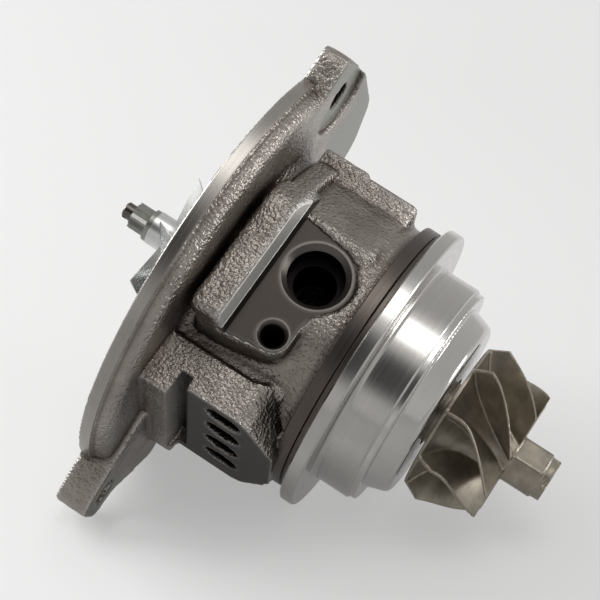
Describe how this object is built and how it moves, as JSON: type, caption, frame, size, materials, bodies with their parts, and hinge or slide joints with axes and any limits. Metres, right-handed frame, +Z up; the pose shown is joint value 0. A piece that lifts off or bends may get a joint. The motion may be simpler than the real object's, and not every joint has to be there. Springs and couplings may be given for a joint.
{
  "type": "turbocharger cartridge",
  "caption": "Turbocharger cartridge: cast bearing housing with flange, ears and coolant port, with a shaft carrying a bladed turbine wheel and a compressor wheel.",
  "frame": {"origin": "under the middle of the cartridge's bounding box, on the surface that it lies on", "axes": "+Z up from that surface; +X the level direction in which the shaft points towards the turbine wheel, the shaft itself leaning down 21.5 degrees that way; the cartridge rests on its lower ear, flange rim and clamp ring"},
  "size_m": [0.1078, 0.1044, 0.102],
  "materials": {
    "cast_iron": "shot blasted casting, satin where machined",
    "turned_steel": "fine turned, satin bright",
    "heat_shield_steel": "pressed stainless sheet, satin",
    "turbine_alloy": "investment cast nickel alloy, khaki grey",
    "compressor_aluminium": "fine cast aluminium, bright",
    "shaft_steel": "ground steel",
    "bearing_bronze": "machined bronze",
    "spring_steel": "dark spring steel",
    "nut_steel": "phosphated steel",
    "seal_iron": "fine machined iron",
    "seal_rubber": "matt black rubber"
  },
  "bodies": {
    "housing": {"bearing_housing": "cast_iron", "heat_shield": "heat_shield_steel", "core_plug": "turned_steel", "bearing_circlips": "spring_steel", "thrust_bearing": "bearing_bronze", "thrust_pins": "shaft_steel", "oil_deflector": "turned_steel", "seal_plate": "seal_iron", "seal_plate_o_ring": "seal_rubber", "seal_plate_retainer": "spring_steel", "turbine_piston_ring": "seal_iron", "compressor_piston_ring": "seal_iron"},
    "rotor": {"shaft": "shaft_steel", "turbine_wheel": "turbine_alloy", "thrust_collar": "shaft_steel", "flinger_sleeve": "shaft_steel", "compressor_wheel": "compressor_aluminium", "shaft_nut": "nut_steel"},
    "turbine_bush": {"turbine_journal_bush": "bearing_bronze"},
    "compressor_bush": {"compressor_journal_bush": "bearing_bronze"}
  },
  "joints": [
    {"name": "rotor_spin", "type": "hinge", "parent": "housing", "child": "rotor", "pos_m": [0.0107, -0.00075, 0.03273], "axis": [0.9304, 0, -0.3665], "continuous": true},
    {"name": "turbine_bush_spin", "type": "hinge", "parent": "housing", "child": "turbine_bush", "pos_m": [0.00656, -0.00075, 0.03436], "axis": [0.9304, 0, -0.3665], "continuous": true},
    {"name": "compressor_bush_spin", "type": "hinge", "parent": "housing", "child": "compressor_bush", "pos_m": [-0.01489, -0.00075, 0.04281], "axis": [0.9304, 0, -0.3665], "continuous": true}
  ]
}
